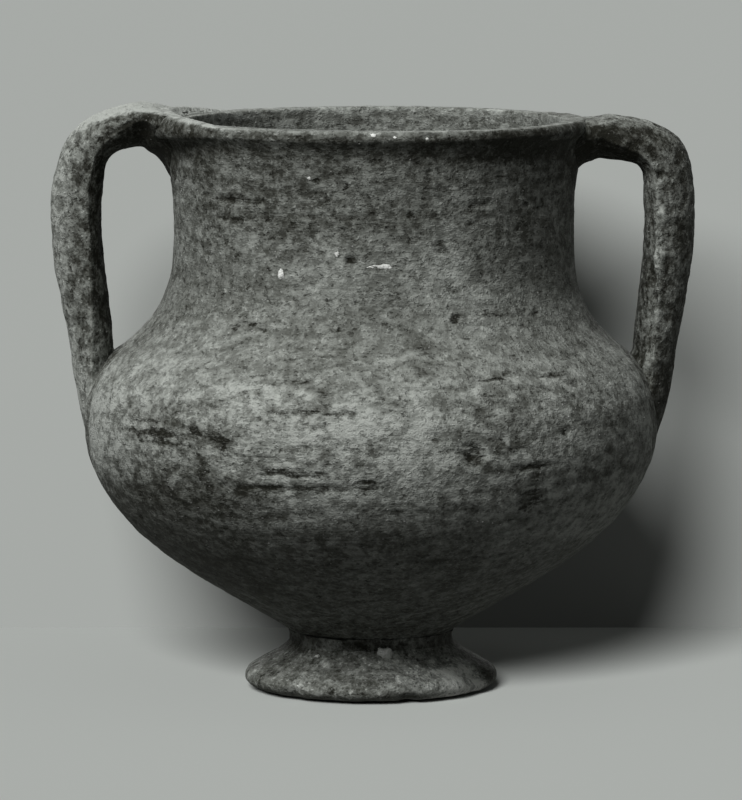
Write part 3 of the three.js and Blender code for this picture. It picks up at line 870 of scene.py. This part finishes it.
for side_name, strap, side, half_turn, thumbed, base_tone, top_light_and_wear, shift in (
        ("left", left_strap, -1, 44, 2.4, 0.22, 0.72, 1.3),
        ("right", right_strap, 1, 38, 0.5, 0.16, 0.40, 6.1)):
    slip_smear(f"{side_name}_upper", strap, side, along_at(110), lip_end, half_turn, columns=130,
               thumbed=thumbed, base_tone=base_tone, top_light_and_wear=top_light_and_wear, shift=shift)
    slip_smear(f"{side_name}_lower", strap, side, along_at(46), along_at(92), half_turn=19, columns=80,
               thumbed=0.0, base_tone=0.42, top_light_and_wear=0.0, shift=shift + 2)

# The temper is crushed grit mixed into the clay to let it dry and fire evenly. Its larger grains stand a
# little proud of every worn surface, sunk in it for half of their depth.

GRAIN_SIZE = 0.30
GRAINS_PER_AREA = 34000.0
GRAIN_SEED = 5


def temper_tree():
    tree = new_geometry_tree("temper", {
        "Grains per Area": "NodeSocketFloat", "Grain Radius": "NodeSocketFloat", "Seed": "NodeSocketInt",
        "Grit": "NodeSocketMaterial"})
    add = node_adder(tree)
    calc = math_adder(add)
    given = add("NodeGroupInput").outputs
    spread = add("GeometryNodeDistributePointsOnFaces", {
        "Mesh": given["Geometry"], "Density": given["Grains per Area"], "Seed": given["Seed"]})
    grain = add("GeometryNodeMeshIcoSphere", {"Radius": given["Grain Radius"], "Subdivisions": 1})
    size = add("FunctionNodeRandomValue", {2: 0.35, 3: 1.0, "Seed": given["Seed"]},
               data_type="FLOAT").outputs[1]
    flat = add("ShaderNodeCombineXYZ", {
        0: size, 1: calc("MULTIPLY", size, 0.75), 2: calc("MULTIPLY", size, 0.4)}).outputs[0]
    grains = add("GeometryNodeInstanceOnPoints", {
        "Points": spread.outputs["Points"], "Instance": grain.outputs[0],
        "Rotation": spread.outputs["Rotation"], "Scale": flat}).outputs[0]
    finish_tree(tree, add, grains, given["Grit"])
    return tree


GRIT_SHADES = [(0.1, 0.1, 0.09), (0.22, 0.223, 0.21), (0.36, 0.366, 0.35), (0.5, 0.506, 0.49)]
grit = fired_clay("grit", GRIT_SHADES, streak_stretch=1.0, line_shade=0.0)
carriers = bmesh.new()
for carrier in (jar, foot, left_strap, right_strap):
    carriers.from_mesh(carrier.data)
temper = new_piece("temper_grains", [])
carriers.to_mesh(temper.data)
carriers.free()
apply_tree(temper, temper_tree(), {
    "Grains per Area": GRAINS_PER_AREA, "Grain Radius": GRAIN_SIZE * MM, "Seed": GRAIN_SEED, "Grit": grit})
grain_points = vertex_array(temper.data, "co")
grain_points[:, 2] = np.maximum(grain_points[:, 2], 0)
reshape(temper, grain_points, 0.35 + 0.3 * clay_noise(grain_points, 9 * MM, octaves=2))
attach(temper, "root")

# The white grits are bits of pale stone that came with the clay, laid bare by wear on the neck and the lip,
# with two more on the foot, the largest a lump at its stem. Each is sunk in the wall and was fired in it.

PEBBLE_ROUGHNESS = 0.60
CAST_FROM = 0.2
# Degrees round from the front, height, half length, half height and how far each stands out, in mm
WHITE_GRITS = [(-25.8, 98.4, 0.7, 1.2, 0.25), (2.8, 100.5, 3.0, 0.6, 0.25), (-9.6, 103.4, 0.5, 0.9, 0.25),
               (0.6, 129.6, 0.7, 0.5, 0.2), (6.1, 129.2, 0.4, 0.3, 0.1), (14.6, 128.8, 0.4, 0.3, 0.1),
               (-17.2, 119.9, 0.4, 0.4, 0.15), (9.7, 10.4, 1.8, 1.05, 1.9), (-37.0, 9.4, 0.6, 0.4, 0.3)]
WHITE_SHADES = [(0.3, 0.306, 0.29), (0.55, 0.56, 0.53), (0.76, 0.775, 0.74), (0.92, 0.94, 0.9)]
white_clay = fired_clay("white_grit", WHITE_SHADES, streak_stretch=1.0, line_shade=0.0)
ground_tree = surface_tree(jar, foot)
pebble = bmesh.new()
bmesh.ops.create_icosphere(pebble, subdivisions=3, radius=1.0)
pebble_points = np.array([vertex.co[:] for vertex in pebble.verts])
pebble_faces = [tuple(vertex.index for vertex in face.verts) for face in pebble.faces]
pebble.free()
grit_points, grit_faces = [], []
for place, height, half_length, half_height, stand in WHITE_GRITS:
    bend = math.radians(place)
    sideways = Vector((math.cos(bend), math.sin(bend), 0))
    inward = Vector((-math.sin(bend), math.cos(bend), 0))
    spot, normal, *_ = ground_tree.ray_cast(inward * -CAST_FROM + Vector((0, 0, height * MM)), inward)
    upward = normal.cross(sideways)
    sized = pebble_points * np.array([half_length, half_height, stand])
    sized *= (1 + PEBBLE_ROUGHNESS * clay_noise(pebble_points, 0.45, place))[:, None]
    grit_faces += [tuple(corner + len(grit_points) for corner in face) for face in pebble_faces]
    grit_points += [spot + (sideways * x + upward * y + normal * z) * MM for x, y, z in sized]
white_grits = new_piece("white_grits", grit_points, faces=grit_faces)
white_grits.data.materials.append(white_clay)
reshape(white_grits, np.array(grit_points), np.full(len(grit_points), 0.95))
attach(white_grits, "root")

# The stage is a pale board with a plain wall close behind it. Both give back little light, so the underside
# of the jar stays dark. A low lamp in front lights the boards alone, and the others light the pot alone.

BOARD_REACH = 3.0
FLOOR_PLACE = -0.0002
FLOOR_SHADE = (0.72, 0.753, 0.72)
FLOOR_BOUNCE = (0.15, 0.15, 0.147)
WALL_PLACE = 0.092
WALL_FOOT = -0.01
WALL_TOP = 2.0
WALL_SHADE = (0.38, 0.397, 0.38)
WALL_BOUNCE = (0.04, 0.04, 0.039)
SKY_SHADE = (0.98, 1.0, 0.98)
SKY_STRENGTH = 0.08


def plain_board(name, corners, shade, bounce):
    """A board that gives back less light than it shows, and that can't be seen from behind."""
    material, add, calc = new_material(name)
    rays = add("ShaderNodeLightPath").outputs
    seen = calc("MAXIMUM", rays["Is Camera Ray"], rays["Is Glossy Ray"])
    seen = calc("MAXIMUM", seen, rays["Is Transmission Ray"])
    shown = add("ShaderNodeMix", {0: seen, 6: (*bounce, 1), 7: (*shade, 1)}, data_type="RGBA").outputs[2]
    lit = add("ShaderNodeBsdfDiffuse", {"Color": shown}).outputs[0]
    behind = add("ShaderNodeNewGeometry").outputs["Backfacing"]
    through = add("ShaderNodeBsdfTransparent").outputs[0]
    mixed = add("ShaderNodeMixShader", {0: behind, 1: lit, 2: through}).outputs[0]
    add("ShaderNodeOutputMaterial", {0: mixed})
    board = new_piece(name, corners, faces=[(0, 1, 2, 3)])
    board.data.materials.append(material)
    return board


floor_corners = ((-1, -1), (1, -1), (1, 1), (-1, 1))
floor = plain_board("floor", [(x * BOARD_REACH, y * BOARD_REACH, FLOOR_PLACE) for x, y in floor_corners],
                    FLOOR_SHADE, FLOOR_BOUNCE)
wall_corners = ((-1, WALL_FOOT), (1, WALL_FOOT), (1, WALL_TOP), (-1, WALL_TOP))
backdrop = plain_board("backdrop", [(x * BOARD_REACH, WALL_PLACE, z) for x, z in wall_corners],
                       WALL_SHADE, WALL_BOUNCE)


def light_group(name, state):
    """The boards as a group that a lamp lights alone, or leaves out."""
    group = bpy.data.collections.new(name)
    for board in (floor, backdrop):
        group.objects.link(board)
    for linked in group.collection_objects:
        linked.light_linking.link_state = state
    return group


only_boards = light_group("only_boards", "INCLUDE")
no_boards = light_group("no_boards", "EXCLUDE")
for lamp_name, energy, spread, towards, lights in (
        ("window_lamp", 2.4, 26, (-0.414, -0.573, 0.707), no_boards),
        ("ceiling_lamp", 0.9, 70, (-0.10, -0.15, 0.98), no_boards),
        ("back_lamp", 0.7, 40, (-0.05, 0.94, 0.33), no_boards),
        ("board_lamp", 3.4, 20, (-0.200, -0.868, 0.454), only_boards)):
    lamp_data = bpy.data.lights.new(lamp_name, "SUN")
    lamp_data.energy = energy
    lamp_data.angle = math.radians(spread)
    lamp = bpy.data.objects.new(lamp_name, lamp_data)
    lamp.rotation_euler = Vector(towards).to_track_quat("Z", "Y").to_euler()
    lamp.light_linking.receiver_collection = lights
    # The wall doesn't stand in the way of the lamp behind it
    if lamp_name == "back_lamp":
        lamp.light_linking.blocker_collection = no_boards
    bpy.context.scene.collection.objects.link(lamp)
sky = bpy.data.worlds.new("sky")
sky.use_nodes = True
sky_light = sky.node_tree.nodes["Background"]
sky_light.inputs["Color"].default_value = (*SKY_SHADE, 1)
sky_light.inputs["Strength"].default_value = SKY_STRENGTH
bpy.context.scene.world = sky
bpy.context.scene.view_settings.view_transform = "Standard"

# The camera stands a long way back in front with a long lens, a little above the lip, and looks slightly
# down at the middle of the jar.

CAMERA_PLACE = Vector((0, -1.300, 0.208))
CAMERA_AIM = Vector((0, 0, 0.0661))
camera_data = bpy.data.cameras.new("camera")
camera_data.sensor_width = 36
camera_data.lens = 257.5
camera = bpy.data.objects.new("camera", camera_data)
camera.location = CAMERA_PLACE
camera.rotation_euler = (CAMERA_AIM - CAMERA_PLACE).to_track_quat("-Z", "Y").to_euler()
bpy.context.scene.collection.objects.link(camera)
bpy.context.scene.camera = camera
